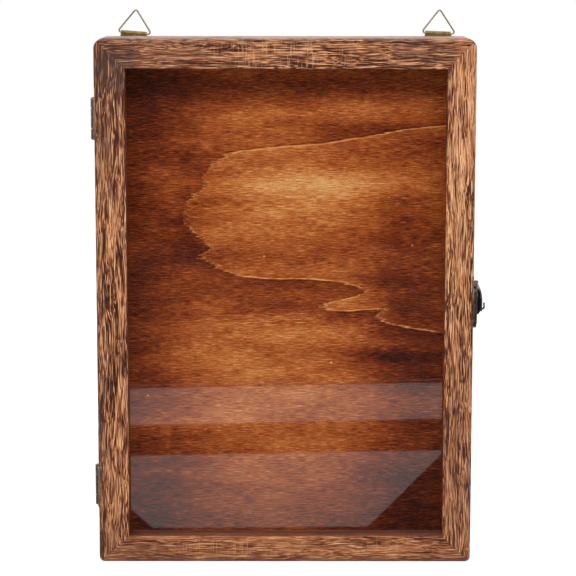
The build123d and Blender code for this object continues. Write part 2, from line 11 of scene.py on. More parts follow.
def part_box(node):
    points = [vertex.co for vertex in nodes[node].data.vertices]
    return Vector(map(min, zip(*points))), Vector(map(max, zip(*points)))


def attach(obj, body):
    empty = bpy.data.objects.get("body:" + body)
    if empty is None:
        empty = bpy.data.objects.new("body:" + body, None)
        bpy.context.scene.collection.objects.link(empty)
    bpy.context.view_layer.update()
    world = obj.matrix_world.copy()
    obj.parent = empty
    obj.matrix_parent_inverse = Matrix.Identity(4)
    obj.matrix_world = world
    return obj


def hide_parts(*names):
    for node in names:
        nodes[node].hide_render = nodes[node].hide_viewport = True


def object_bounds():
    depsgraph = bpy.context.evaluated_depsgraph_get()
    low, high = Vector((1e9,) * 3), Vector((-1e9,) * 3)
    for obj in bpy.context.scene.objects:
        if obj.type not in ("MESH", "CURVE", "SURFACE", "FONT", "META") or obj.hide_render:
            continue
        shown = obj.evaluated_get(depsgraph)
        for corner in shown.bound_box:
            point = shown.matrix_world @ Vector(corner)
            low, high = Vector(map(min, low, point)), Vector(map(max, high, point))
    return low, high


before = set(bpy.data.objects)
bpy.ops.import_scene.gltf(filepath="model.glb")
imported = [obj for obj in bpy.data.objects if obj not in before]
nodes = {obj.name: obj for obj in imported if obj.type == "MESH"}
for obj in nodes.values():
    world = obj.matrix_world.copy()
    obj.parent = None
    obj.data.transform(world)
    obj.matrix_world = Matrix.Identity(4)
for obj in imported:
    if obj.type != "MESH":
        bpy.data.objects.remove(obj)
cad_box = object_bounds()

mm = 0.001

# Camera: a long lens a little above the box, looking slightly down
camera_place = Vector((0.0, -1.2940, 0.3644))
camera_pitch = math.radians(8.672)
camera_yaw = math.radians(0.081)
camera_roll = math.radians(0.047)
camera_lens = 133.33
camera_film = 36.0

# Skins: how near two points count as one, and up to what bend faces are flat and edges are round
merge_distance = 0.004 * mm
flat_angle = math.radians(1.0)
arris_angle = math.radians(35.0)
# A metal edge starts to show wear and a painted highlight, and a corner grime and painted shade,
# from this bend on
gentle_bend = math.radians(9.0)

# Brushed boards: facets across and along the grain, and the depth of the grooves
door_facet = 0.42 * mm
door_facet_length = 2.2 * mm
door_groove_depth = 0.2 * mm
case_facet = 0.7 * mm
case_facet_length = 3.0 * mm
case_groove_depth = 0.16 * mm

# Grooves: cells of the long lines, of the short lines and of their sway, across and along the grain
# in mm, and how far they sway
long_cell = (2.6, 60)
short_cell = (1.7, 26)
sway_cell = (16, 38)
sway_reach = 1.6
# How wide the two kinds of lines are in the noise, and how deep the short ones and the rough
# ground between them go, as shares of the depth
long_line_width = 0.16
short_line_width = 0.2
short_line_depth = 0.8
rough_depth = 0.4
rough_middle = 0.5
rough_swing = 0.9
# The sway's noise starts from this seed, and would start anew each run without one
noise.seed_set(7)

# Lip round the glass: it starts behind the door's front face, and well in from the outer faces
door_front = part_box("door_left_stile")[0].y
middle_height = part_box("door_left_stile")[1].z / 2
lip_start = 0.5 * mm
lip_run = 1.2 * mm
lip_from_side = 18 * mm
lip_from_end = 6 * mm

# Back panel: its facets, its face veneer and the step over which the growth ring's slope is taken
panel_facet = 2.0 * mm
panel_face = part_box("back_panel")[0].y
veneer = 0.6 * mm
slope_step = 0.5 * mm

# Tones, from dark to pale: where each stands on the finish's level, and its colour
scorched_tones = (
    (0.08, (58, 23, 13)),
    (0.3, (102, 49, 29)),
    (0.5, (150, 87, 52)),
    (0.68, (192, 128, 83)),
    (0.88, (230, 173, 126)),
)
bead_tones = ((0.3, (66, 32, 20)), (0.5, (104, 58, 36)), (0.72, (150, 96, 64)))
stained_tones = (
    (0.0, (46, 12, 6)),
    (0.2, (96, 31, 10)),
    (0.4, (146, 60, 20)),
    (0.6, (194, 98, 42)),
    (0.8, (228, 142, 78)),
    (1.0, (248, 188, 126)),
)
bare_tones = (
    (0.15, (108, 70, 42)),
    (0.4, (150, 106, 68)),
    (0.6, (178, 134, 92)),
    (0.85, (204, 164, 120)),
)
saw_tick_tone = (222, 166, 120)
soot_and_shade_tone = (88, 66, 58)
lip_stain_and_shade_tone = (186, 140, 120)

# The middle of the noise, which lies between 0 and 1
noise_middle = 0.5


def tone(red, green, blue):
    """The linear colour of a paint-chart colour given in steps of 255."""
    parts = []
    for step in (red, green, blue):
        c = step / 255
        parts.append(c / 12.92 if c <= 0.04045 else ((c + 0.055) / 1.055) ** 2.4)
    return (*parts, 1.0)


def held(value):
    """The value, kept between 0 and 1."""
    return min(max(value, 0.0), 1.0)


class Finish:
    """A material's nodes, with short calls for the steps that the finishes share.

    A size is the size of the spots along each axis, in mm. A shift is where in the noise they
    start, in spots.
    """

    def __init__(self, name):
        self.material = bpy.data.materials.new(name)
        self.material.use_nodes = True
        self.tree = self.material.node_tree
        self.shader = self.tree.nodes["Principled BSDF"]
        self.surface = self.tree.nodes["Material Output"].inputs["Surface"]
        self.place = self.add("ShaderNodeTexCoord").outputs["Object"]

    def add(self, kind, **settings):
        node = self.tree.nodes.new(kind)
        for name, value in settings.items():
            setattr(node, name, value)
        return node

    def feed(self, socket, value):
        if isinstance(value, bpy.types.NodeSocket):
            self.tree.links.new(value, socket)
        else:
            socket.default_value = value

    def feed_all(self, node, *values):
        """Feeds the node's inputs in their order."""
        for socket, value in zip(node.inputs, values):
            self.feed(socket, value)
        return node.outputs[0]

    def set(self, **values):
        """Feeds the shader's own sockets, with _ for a blank in their names."""
        for name, value in values.items():
            self.feed(self.shader.inputs[name.replace("_", " ")], value)

    def math(self, operation, *values, clamp=False):
        node = self.add("ShaderNodeMath", operation=operation, use_clamp=clamp)
        return self.feed_all(node, *values)

    def plus(self, first, second):
        return self.math("ADD", first, second)

    def minus(self, first, second):
        return self.math("SUBTRACT", first, second)

    def times(self, first, second):
        return self.math("MULTIPLY", first, second)

    def swing(self, spots):
        """Noise counted from its own middle, so that it goes to both sides of 0."""
        return self.plus(spots, -noise_middle)

    def total(self, start, *parts):
        """Adds up parts, each one a value and its weight."""
        level = start
        for value, weight in parts:
            level = self.math("MULTIPLY_ADD", value, weight, level)
        return level

    def spread(self, value, low, high, to_low, to_high):
        """Goes evenly from to_low, where the value is low, to to_high, where it is high."""
        node = self.add("ShaderNodeMapRange", interpolation_type="LINEAR")
        return self.feed_all(node, value, low, high, to_low, to_high)

    def smooth(self, value, low, high, to_low=0.0, to_high=1.0):
        """The same with both ends eased."""
        node = self.add("ShaderNodeMapRange", interpolation_type="SMOOTHSTEP")
        return self.feed_all(node, value, low, high, to_low, to_high)

    def fade(self, value, low, high, strength=1.0):
        """Full strength where the value is low, and nothing where it is high."""
        return self.smooth(value, low, high, strength, 0.0)

    def speckle(self, size, shift, detail, roughness, source):
        """A noise node with spots of that size."""
        node = self.add("ShaderNodeTexNoise")
        spots = self.add("ShaderNodeMapping")
        self.feed(spots.inputs["Vector"], source or self.place)
        spots.inputs["Location"].default_value = shift
        spots.inputs["Scale"].default_value = [1 / (s * mm) for s in size]
        self.feed(node.inputs["Vector"], spots.outputs[0])
        node.inputs["Scale"].default_value = 1.0
        node.inputs["Detail"].default_value = detail
        node.inputs["Roughness"].default_value = roughness
        return node

    def mottle(self, size, shift, detail, roughness=0.5, source=None):
        """Soft spots, lying at the source's coordinates or else at the object's own."""
        return self.speckle(size, shift, detail, roughness, source).outputs["Fac"]

    def drift(self, size, reach, shift=(0.0, 0.0, 0.0)):
        """Object coordinates pushed about by soft noise, over reach mm along each axis."""
        spots = self.speckle(size, shift, 1.0, 0.5, None).outputs["Color"]
        centred = self.add("ShaderNodeVectorMath", operation="SUBTRACT")
        pushed = self.add("ShaderNodeVectorMath", operation="MULTIPLY_ADD")
        swing = self.feed_all(centred, spots, (noise_middle,) * 3)
        return self.feed_all(pushed, swing, [r * mm for r in reach], self.place)

    def thread(self, size, shift, source, width):
        """1 along thin wandering lines, 0 between them."""
        field = self.mottle(size, shift, 1.0, 0.5, source)
        return self.fade(self.math("ABSOLUTE", self.swing(field)), 0.0, width)

    def mark(self, name):
        """A value carried by the piece's own points."""
        return self.add("ShaderNodeAttribute", attribute_name=name).outputs["Fac"]

    def shades(self, value, stops):
        """The tones of the stops, run into each other along the value."""
        ramp = self.add("ShaderNodeValToRGB")
        self.feed(ramp.inputs[0], value)
        points = ramp.color_ramp.elements
        while len(points) < len(stops):
            points.new(0.5)
        for point, (position, colour) in zip(points, stops):
            point.position = position
            point.color = tone(*colour)
        return ramp.outputs["Color"]

    def blend(self, share, first, second, mode="MIX"):
        node = self.add("ShaderNodeMix", data_type="RGBA", blend_type=mode)
        self.feed(node.inputs["Factor"], share)
        self.feed(node.inputs[6], first)
        self.feed(node.inputs[7], second)
        return node.outputs[2]

    def either(self, share, first, second):
        """Mixes two shaders."""
        return self.feed_all(self.add("ShaderNodeMixShader"), share, first, second)

    def bump(self, height, depth):
        """Fine relief: height 1 stands depth mm above height 0."""
        node = self.add("ShaderNodeBump")
        node.inputs["Strength"].default_value = 1.0
        node.inputs["Distance"].default_value = depth * mm
        self.feed(node.inputs["Height"], height)
        self.feed(self.shader.inputs["Normal"], node.outputs[0])


def grain_size(grain, across, length):
    """One size for each axis of a board whose grain runs along the named one."""
    return tuple(length if axis == grain else across for axis in "xyz")


def brushed_grain(wood, grain, shift, contrast):
    """Level of the brushed grain, and its relief."""
    aside = (shift[0] + 5, shift[1], shift[2] + 3)
    beside = tuple(s + (0.0 if axis == grain else 0.3) for s, axis in zip(shift, "xyz"))
    waves = wood.drift(grain_size(grain, 10, 32), grain_size(grain, 4.2, 0.1), shift)

    def lines(across, length, width, start=shift):
        return wood.thread(grain_size(grain, across, length), start, waves, width)

    def spots(across, length, start=shift, detail=2.0, roughness=0.6, source=waves):
        return wood.mottle(grain_size(grain, across, length), start, detail, roughness, source)

    long_lines = lines(2.4, 80, 0.045)
    short_lines = lines(1.3, 36, 0.09)
    hair_lines = lines(0.8, 17, 0.13, aside)
    ridges = lines(1.3, 36, 0.09, beside)
    vessels = spots(0.8, 34)
    fibres = spots(0.42, 17, roughness=0.75)
    pits = wood.smooth(spots(0.75, 9, aside), 0.55, 0.68)
    clouds = spots(7, 42, detail=3.0, source=None)
    calm_and_busy = spots(6, 45, aside, detail=1.0, roughness=0.5, source=None)
    busy = wood.smooth(calm_and_busy, 0.36, 0.62, 0.35, 1.25)
    drawn = wood.total(
        0.0,
        (long_lines, -0.26),
        (short_lines, -0.3),
        (hair_lines, -0.42),
        (wood.mark("groove"), -0.1),
        (ridges, 0.3),
    )
    level = wood.total(
        0.72,
        (wood.swing(vessels), 0.35 * contrast),
        (wood.swing(fibres), 2.8 * contrast),
        (wood.swing(clouds), 0.3 * contrast),
        (drawn, wood.times(busy, contrast)),
        (pits, wood.times(busy, -0.08 * contrast)),
    )
    relief = wood.total(0.0, (vessels, 1.0), (long_lines, -0.3), (short_lines, -0.2))
    return level, relief


def scorched_wood(name, grain, shift, contrast, shade):
    """Open-grained wood, burnt and wire-brushed: dark soft grain between tan ridges."""
    wood = Finish(name)
    level, relief = brushed_grain(wood, grain, shift, contrast)
    # Soot darkens and greys the finish; along the bottom edge it is painted shade
    soot_and_shade = wood.mark("soot_and_shade")
    level = wood.plus(wood.total(level, (soot_and_shade, -0.2)), shade)
    colour = wood.shades(level, scorched_tones)
    ticks = wood.mottle(grain_size(grain, 9, 0.75), (shift[0] + 7, shift[1], shift[2]), 1.0)
    ticked = wood.times(wood.smooth(ticks, 0.56, 0.7), wood.times(wood.mark("sawn"), 0.45))
    colour = wood.blend(ticked, colour, tone(*saw_tick_tone))
    soot_and_shade_share = wood.math("MULTIPLY", soot_and_shade, 0.5, clamp=True)
    colour = wood.blend(soot_and_shade_share, colour, tone(*soot_and_shade_tone))
    # The lip round the glass is darkened with burnt stain and painted shade
    lip_colour = wood.blend(1.0, colour, tone(*lip_stain_and_shade_tone), mode="MULTIPLY")
    colour = wood.blend(wood.times(wood.mark("lip"), 0.85), colour, lip_colour)
    wood.set(
        Base_Color=colour,
        Roughness=wood.spread(level, 0.2, 0.8, 0.75, 0.55),
        Specular_IOR_Level=0.25,
        Coat_Weight=wood.times(wood.mark("upper"), 0.8),
        Coat_Roughness=0.35,
    )
    wood.bump(relief, 0.22)
    return wood.material


def plain_wood(name, grain, shift):
    """Thin stained strips that hold the glass."""
    wood = Finish(name)
    streaks = wood.mottle(grain_size(grain, 0.6, 14), shift, 3.0, 0.6)
    clouds = wood.mottle(grain_size(grain, 6, 30), shift, 2.0)
    level = wood.plus(wood.times(streaks, 0.7), wood.times(clouds, 0.3))
    wood.set(
        Base_Color=wood.shades(level, bead_tones),
        Roughness=wood.spread(streaks, 0.3, 0.7, 0.65, 0.5),
        Specular_IOR_Level=0.35,
    )
    wood.bump(streaks, 0.12)
    return wood.material


def veneer_figure(ply, streaks, flecks):
    """Level of the stain on rotary-cut veneer, with its pores, needles and torn combed lines."""
    clouds = ply.mottle((34, 34, 9), (5.0, 0.0, 0.0), 2.0, 0.55)
    pores = ply.mottle((2.2, 2.2, 0.5), (1.0, 0.0, 7.0), 1.0)
    needles = ply.mottle((8, 8, 0.45), (7.0, 0.0, 3.0), 1.0)
    waves = ply.drift((9, 9, 9), (0, 0, 3))
    torn = ply.times(ply.mark("combed"), ply.thread((24, 24, 1.7), (5.0, 0.0, 9.0), waves, 0.12))
    level = ply.total(
        ply.mark("stain"),
        (ply.swing(streaks), 0.2),
        (ply.swing(flecks), 1.3),
        (ply.swing(clouds), 0.45),
    )
    level = ply.minus(level, ply.smooth(pores, 0.68, 0.78, 0.0, 0.16))
    level = ply.plus(level, ply.smooth(needles, 0.6, 0.72, 0.0, 0.16))
    return ply.plus(level, ply.times(torn, 0.2))


def with_growth_ring(ply, level):
    """The level with the ring drawn in: a worn pale line, darker outside it and paler inside."""
    combed_out = 22.0 * mm
    dark_reach = 11.0 * mm
    pale_reach = 8.0 * mm
    rim_distance = 0.9 * mm
    line_level = 0.92
    comb = ply.mottle((16, 16, 0.85), (2.0, 0.0, 4.0), 3.0, 0.75)
    pull = ply.times(ply.swing(comb), ply.times(ply.mark("slope"), combed_out))
    away = ply.plus(ply.mark("ring"), pull)
    outside = ply.times(
        ply.smooth(away, -dark_reach, -0.2 * mm), ply.math("LESS_THAN", away, 0.0)
    )
    inside = ply.times(
        ply.fade(away, 0.5 * mm, pale_reach, 0.07), ply.math("GREATER_THAN", away, 0.0)
    )
    level = ply.plus(ply.minus(level, ply.times(outside, 0.1)), inside)
    from_rim = ply.math("ABSOLUTE", ply.plus(away, rim_distance))
    level = ply.minus(level, ply.fade(from_rim, 0.2 * mm, 0.9 * mm, 0.12))
    worn = ply.spread(ply.mottle((9, 9, 2.5), (4.0, 0.0, 2.0), 2.0), 0.35, 0.6, 0.5, 1.0)
    line = ply.times(ply.fade(ply.math("ABSOLUTE", away), 0.1 * mm, 0.7 * mm), worn)
    return ply.plus(ply.times(level, ply.minus(1.0, line)), ply.times(line, line_level))


def with_specks(ply, level, specks):
    """The level with small pale spots where the stain didn't take."""
    for speck in specks:
        gap = ply.add("ShaderNodeVectorMath", operation="DISTANCE")
        ply.feed_all(gap, ply.place, speck)
        level = ply.plus(level, ply.fade(gap.outputs["Value"], 0.35 * mm, 0.75 * mm, 0.5))
    return level


def stained_plywood(name, specks, veneer_depth):
    """Face veneer under an orange-brown stain, with one strong growth ring, on bare plywood."""
    ply = Finish(name)
    streaks = ply.mottle((17, 17, 0.7), (3.0, 0.0, 0.0), 3.0, 0.6)
    flecks = ply.mottle((6.5, 6.5, 0.48), (9.0, 0.0, 0.0), 2.0, 0.78)
    level = with_growth_ring(ply, veneer_figure(ply, streaks, flecks))
    stained = ply.shades(with_specks(ply, level, specks), stained_tones)
    bare_streaks = ply.mottle((40, 40, 1.1), (6.0, 0.0, 8.0), 3.0, 0.65)
    bare_clouds = ply.mottle((70, 70, 22), (2.0, 0.0, 5.0), 2.0)
    bare_level = ply.total(
        0.5,
        (ply.swing(bare_streaks), 1.1),
        (ply.swing(flecks), 0.5),
        (ply.swing(bare_clouds), 0.9),
    )
    parts = ply.add("ShaderNodeSeparateXYZ")
    ply.feed_all(parts, ply.place)
    behind = ply.math("GREATER_THAN", parts.outputs["Y"], veneer_depth)
    ply.set(
        Base_Color=ply.blend(behind, stained, ply.shades(bare_level, bare_tones)),
        Roughness=ply.spread(streaks, 0.3, 0.7, 0.5, 0.36),
        Specular_IOR_Level=0.08,
    )
    ply.bump(ply.plus(streaks, ply.times(flecks, 0.5)), 0.05)
    return ply.material


def clear_glass(name):
    """Thin float glass. Light from the lamps goes straight through it."""
    glass = Finish(name)
    glass.set(Base_Color=tone(250, 253, 251), Transmission_Weight=1.0, Roughness=0.012, IOR=1.5)
    path = glass.add("ShaderNodeLightPath")
    pane = glass.shader.outputs[0]
    for light in ("Is Diffuse Ray", "Is Shadow Ray"):
        open_way = glass.add("ShaderNodeBsdfTransparent")
        open_way.inputs["Color"].default_value = tone(245, 248, 246)
        pane = glass.either(path.outputs[light], pane, open_way.outputs[0])
    glass.feed(glass.surface, pane)
    return glass.material


def aged_metal(name, dark, middle, pale, spots, roughness, metallic):
    """Thin-patina metal: edges worn pale with a painted highlight, corners dark with grime and
    painted shade.
    """
    metal = Finish(name)
    patina = metal.mottle((spots,) * 3, (2.0, 5.0, 1.0), 3.0, 0.6)
    grit = metal.mottle((0.22,) * 3, (8.0, 1.0, 3.0), 2.0, 0.6)
    scratches = metal.mottle((0.12, 0.12, 2.4), (1.0, 6.0, 4.0), 2.0, 0.6)
    # Edges worn pale with a painted highlight, corners darkened by grime and painted shade
    rubbed_and_highlit = metal.mark("rubbed_and_highlit")
    level = metal.total(
        0.42,
        (metal.swing(patina), 0.7),
        (metal.swing(grit), 0.35),
        (metal.swing(scratches), 0.3),
        (rubbed_and_highlit, metal.spread(patina, 0.35, 0.6, 0.25, 0.6)),
        (metal.mark("grime_and_shade"), -0.45),
    )
    metal.set(
        Base_Color=metal.shades(level, ((0.1, dark), (0.45, middle), (0.95, pale))),
        Roughness=metal.spread(level, 0.1, 0.9, roughness + 0.16, roughness - 0.08),
        Metallic=metal.spread(rubbed_and_highlit, 0.0, 1.0, metallic, metallic - 0.4),
    )
    metal.bump(metal.total(0.0, (patina, 1.0), (grit, 0.35), (scratches, 0.3)), 0.035)
    return metal.material


# Soft darker places of the scorched finish, or paler ones below 0, with painted shade along the
# rounded bottom edge: x, z, reach across and reach up in mm, and strength
scorch_and_shade_places = (
    (-103, 303, 20, 16, 1.0),
    (-108, 255, 7, 30, 0.55),
    (-113, 70, 4, 90, 0.7),
    (88, 312, 30, 8, 0.45),
    (106, 45, 12, 60, 0.4),
    (-90, 6, 30, 12, 0.4),
    # Painted shade along the rounded bottom edge
    (0, 0, 200, 3, 0.7),
    (107, 262, 9, 45, -0.75),
    (-62, 314, 34, 9, 0.35),
    (2, 312, 34, 9, -0.35),
)
# Where saw marks cross the grain of the rails
sawn_places = (
    (2, 311, 40, 10, 1.2),
    (-36, 9, 32, 6, 0.9),
    (58, 9, 24, 6, 0.5),
)


def strength_at(places, x, z):
    """How strongly the soft places reach each point."""
    total = 0.0
    for middle, height, across, up, strength in places:
        sideways = (x / mm - middle) / across
        upwards = (z / mm - height) / up
        total += strength * np.exp(-(sideways**2) - upwards**2)
    return total


def merged_copy(node):
    """The node's shape as one skin, with its flat faces whole again."""
    form = bmesh.new()
    form.from_mesh(nodes[node].data)
    bmesh.ops.remove_doubles(form, verts=form.verts, dist=merge_distance)
    bmesh.ops.dissolve_limit(
        form,
        angle_limit=flat_angle,
        verts=form.verts,
        edges=form.edges,
        use_dissolve_boundaries=False,
    )
    return form


def cut_in_facets(form, steps):
    """Cuts the form across each axis that has a step, coarse cuts first."""
    for axis in sorted(range(3), key=lambda a: -steps[a]):
        if not steps[axis]:
            continue
        ends = [v.co[axis] for v in form.verts]
        low = min(ends)
        length = max(ends) - low
        count = round(length / steps[axis])
        across = Vector((0, 0, 0))
        across[axis] = 1
        for k in range(1, count):
            bmesh.ops.bisect_plane(
                form,
                geom=form.verts[:] + form.edges[:] + form.faces[:],
                plane_co=across * (low + length * k / count),
                plane_no=across,
            )


def keep_arrises(form):
    """Smooth faces that still meet in a crease at the real edges."""
    for face in form.faces:
        face.smooth = True
    for edge in form.edges:
        edge.smooth = edge.calc_face_angle(0.0) < arris_angle


def carry(form, name, values):
    """Writes one value on each point, for the finish to read."""
    mark = form.verts.layers.float.new(name)
    for v, value in zip(form.verts, values):
        v[mark] = value


def placed(name, data):
    """A new object of the scene that holds the data."""
    holder = bpy.data.objects.new(name, data)
    bpy.context.scene.collection.objects.link(holder)
    return holder


def skinned(name, form, material):
    """The form as an object of that material."""
    mesh = bpy.data.meshes.new(name)
    form.to_mesh(mesh)
    form.free()
    mesh.materials.append(material)
    return placed(name, mesh)


def finished(form, node, ending, material, body):
    """The form as the piece that stands for the node, with an ending to its name."""
    piece = skinned(f"{node}_{ending}", form, material)
    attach(piece, body)
    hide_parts(node)


def mark_finish(form, grain):
    """Marks where a board is sooty or in painted shade, crossed by saw marks, behind the lip or
    turned upwards.
    """
    x, y, z = np.array([v.co for v in form.verts]).T
    behind = np.clip((y - door_front - lip_start) / lip_run, 0, 1)
    from_sides = abs(x) < cad_box[1].x - lip_from_side
    from_ends = abs(z - middle_height) < middle_height - lip_from_end
    carry(form, "soot_and_shade", strength_at(scorch_and_shade_places, x, z))
    carry(form, "sawn", strength_at(sawn_places, x, z) * (grain == "x"))
    carry(form, "lip", behind * (from_sides & from_ends))
    carry(form, "upper", [max(v.normal.z, 0.0) ** 2 for v in form.verts])


def grooves_of(form, grain, shift):
    """How deep each point lies in the brushed-out soft grain, from 0 to 1."""
    wide, narrow, waver = (
        Vector([1 / (size * mm) for size in grain_size(grain, *cell)])
        for cell in (long_cell, short_cell, sway_cell)
    )
    grooves = []
    for v in form.verts:
        sway = noise.noise_vector(v.co * waver + shift) * sway_reach * mm
        sway["xyz".index(grain)] = 0
        at = v.co + sway
        long_line = abs(noise.noise(at * wide + shift)) / long_line_width
        short_line = abs(noise.noise(at * narrow - shift)) / short_line_width
        rough = rough_middle - rough_swing * noise.noise(at * narrow + shift)
        deepest = max(1.0 - long_line, short_line_depth - short_line, rough_depth * rough)
        grooves.append(held(deepest))
    return grooves


def brushed_board(node, grain, shift, material, body, slot, facet, facet_length, depth):
    """A board whose soft grain is brushed out in grooves, cut inwards from the CAD faces."""
    form = merged_copy(node)
    cut_in_facets(form, grain_size(grain, facet, facet_length))
    keep_arrises(form)
    form.normal_update()
    mark_finish(form, grain)
    grooves = grooves_of(form, grain, shift)
    for v, groove in zip(form.verts, grooves):
        v.co -= v.normal * depth * groove
    carry(form, "groove", grooves)
    finished(form, node, "grain", material, body)


# Door and case woodwork: axis of the grain, where in the noise it starts, contrast and shade
door_members = {
    "door_top_rail": ("x", Vector((3.1, 0.0, 7.0)), 1.0, -0.11),
    "door_bottom_rail": ("x", Vector((11.7, 0.0, 2.0)), 0.6, -0.08),
    "door_left_stile": ("z", Vector((5.3, 0.0, 13.0)), 1.15, -0.08),
    "door_right_stile": ("z", Vector((17.9, 0.0, 4.0)), 0.95, -0.02),
}
case_boards = {
    "case_top_board": ("x", Vector((21.0, 3.0, 1.0)), 0.8, -0.02),
    "case_bottom_board": ("x", Vector((27.0, 5.0, 3.0)), 0.8, -0.02),
    "case_left_board": ("z", Vector((33.0, 7.0, 5.0)), 0.9, -0.01),
    "case_right_board": ("z", Vector((39.0, 9.0, 6.0)), 0.9, -0.01),
}
for members, *making in (
    (door_members, "door", "door_wood", door_facet, door_facet_length, door_groove_depth),
    (case_boards, "case", "case_wood", case_facet, case_facet_length, case_groove_depth),
):
    for node, (grain, shift, contrast, shade) in members.items():
        material = scorched_wood(node + "_finish", grain, shift, contrast, shade)
        brushed_board(node, grain, shift, material, *making)

# Back panel: the growth ring's course across the veneer in mm, from the right edge round and back
growth_ring = (
    (104, 265.5), (84, 264), (68, 261.6), (52, 258.4), (36, 256), (21, 253.8), (-3, 252),
    (-27, 249.4), (-38, 247), (-46, 239), (-50.7, 233), (-47.7, 227.8), (-54, 224), (-60.5, 217.8),
    (-60, 211.6), (-62, 203.5), (-54.6, 198.5), (-47.8, 191.3), (-43.8, 187.9), (-52.8, 186.2),
    (-46, 179), (-31.8, 172.5), (-11, 169.7), (13, 170.3), (33.6, 168.4), (48, 164.7),
    (50.8, 161), (41.8, 157.7), (19.3, 152.7), (33.7, 149.2), (53.7, 150.8), (64.3, 152.1),
    (56.2, 144.5), (68.1, 141), (84.4, 137.9), (104, 135),
)
# Where the stain took paler, or darker below 0, with painted shade toward the top-left corner, down
# the
# sides and along the bottom: x, z, reach across and reach up in mm, strength
stain_and_shade_places = (
    (-15, 272, 40, 10, 0.14),
    (52, 276, 26, 9, 0.16),
    (88, 272, 16, 9, 0.12),
    (38, 264, 24, 4, -0.08),
    (0, 288, 76, 5, -0.08),
    (-62, 282, 14, 14, -0.08),
    (22, 229, 58, 12, 0.32),
    (10, 250, 54, 12, 0.14),
    (0, 205, 60, 18, 0.22),
    (-58, 241, 8, 14, -0.12),
    (-58, 184, 12, 10, -0.12),
    (70, 195, 16, 46, -0.12),
    (20, 176, 58, 6, 0.14),
    (-5, 154, 24, 5, -0.16),
    (34, 157, 22, 8, 0.1),
    (-48, 122, 34, 20, 0.16),
    (0, 137, 48, 9, 0.2),
    (2, 116, 44, 12, 0.16),
    (2, 84, 60, 24, 0.14),
    (-40, 78, 20, 8, 0.08),
    (0, 45, 50, 22, 0.14),
    (-82, 285, 22, 30, -0.2),
    (84, 225, 22, 12, 0.06),
    (62, 121, 30, 5, -0.24),
    (74, 108, 26, 9, -0.14),
    (-62, 200, 10, 16, -0.12),
    (2, 96, 52, 12, 0.05),
    (-76, 104, 22, 8, -0.16),
    (-86, 205, 20, 70, -0.06),
    (-78, 60, 22, 18, -0.06),
    (-74, 30, 34, 26, -0.11),
    (76, 32, 34, 28, -0.18),
    (0, 28, 70, 20, -0.03),
    (82, 110, 20, 70, -0.11),
    (-84, 150, 16, 40, -0.07),
    (-82, 195, 18, 40, -0.05),
    (-86, 10, 16, 26, -0.12),
    (80, 8, 36, 26, -0.1),
    (0, 0, 150, 10, -0.22),
    (-99, 160, 12, 200, -0.04),
)
# Level of the stain away from those places, and how much of their strength shows
plain_stain = 0.4
stain_depth = 1.15
# Where the veneer's grain was torn into fine combed lines
combed_places = (
    (-14, 146, 36, 8, 1.0),
    (-4, 262, 30, 4, 0.5),
    (-70, 255, 12, 30, 0.4),
)
# Bare specks on the panel's face, left by dust in the stain
speck_places = ((-13, 184), (79, 191), (29, 117), (-86, 96))


def rounded_course(points, rounds=2):
    """The same course with its corners taken off, by cutting each run at its quarters."""
    course = np.array(points, float)
    for _ in range(rounds):
        start, end = course[:-1], course[1:]
        cut = np.empty((2 * len(start), 2))
        cut[0::2] = start * 0.75 + end * 0.25
        cut[1::2] = start * 0.25 + end * 0.75
        course = np.vstack((course[:1], cut, course[-1:]))
    return course * mm


def side_distance(places, course):
    """Distance of each place from the course, above zero on the side it goes round."""
    nearest = np.full(len(places), 1.0)
    inside = np.zeros(len(places), bool)
    for start, end in zip(course, np.roll(course, -1, axis=0)):
        run = end - start
        share = np.clip(((places - start) @ run) / (run @ run), 0, 1)
        gap = np.linalg.norm(places - start - share[:, None] * run, axis=1)
        if not np.array_equal(end, course[0]):
            nearest = np.minimum(nearest, gap)
        between = (start[1] > places[:, 1]) != (end[1] > places[:, 1])
        if start[1] != end[1]:
            crossing = start[0] + (places[:, 1] - start[1]) * run[0] / run[1]
            inside ^= between & (places[:, 0] < crossing)
    return np.where(inside, nearest, -nearest)


def figured_panel():
    """The plywood back, in facets fine enough to carry the veneer's figure."""
    form = merged_copy("back_panel")
    cut_in_facets(form, [panel_facet, 0, panel_facet])
    keep_arrises(form)
    form.verts.ensure_lookup_table()
    places = np.array([(v.co.x, v.co.z) for v in form.verts])
    x, z = places.T
    course = rounded_course(growth_ring)
    ring = side_distance(places, course)
    beside = side_distance(places + np.array([slope_step, 0]), course)
    carry(form, "ring", ring)
    carry(form, "slope", np.abs(beside - ring) / slope_step)
    # The stain's level, with painted shade near the top-left corner, the sides and the bottom
    carry(form, "stain", plain_stain + stain_depth * strength_at(stain_and_shade_places, x, z))
    carry(form, "combed", strength_at(combed_places, x, z))
    specks = [(across * mm, panel_face, up * mm) for across, up in speck_places]
    material = stained_plywood("stained_plywood", specks, panel_face + veneer)
    finished(form, "back_panel", "veneer", material, "case")


figured_panel()

# Metals: dark, middle and pale tones, size of the patina's spots in mm, roughness, metallic
metal_looks = {
    "hinge_bronze": ((66, 58, 50), (132, 120, 106), (214, 204, 188), 1.9, 0.36, 0.85),
    "latch_bronze": ((56, 45, 43), (116, 100, 95), (226, 216, 204), 2.2, 0.36, 0.85),
    # The catch: the latch's bronze darkened, as painted shade
    "catch_bronze_in_painted_shade": ((38, 31, 31), (90, 77, 73), (138, 126, 116), 2.2, 0.36, 0.85),
    "strap_brass": ((62, 48, 28), (128, 108, 68), (222, 212, 172), 2.6, 0.26, 0.97),
    "ring_steel": ((104, 90, 74), (166, 150, 128), (222, 212, 196), 1.4, 0.32, 0.85),
    "screw_steel": ((70, 62, 52), (138, 128, 114), (216, 208, 194), 0.9, 0.3, 0.85),
    "pin_steel": ((60, 54, 50), (112, 104, 96), (186, 178, 168), 0.8, 0.36, 0.85),
}
metals = {name: aged_metal(name, *look) for name, look in metal_looks.items()}
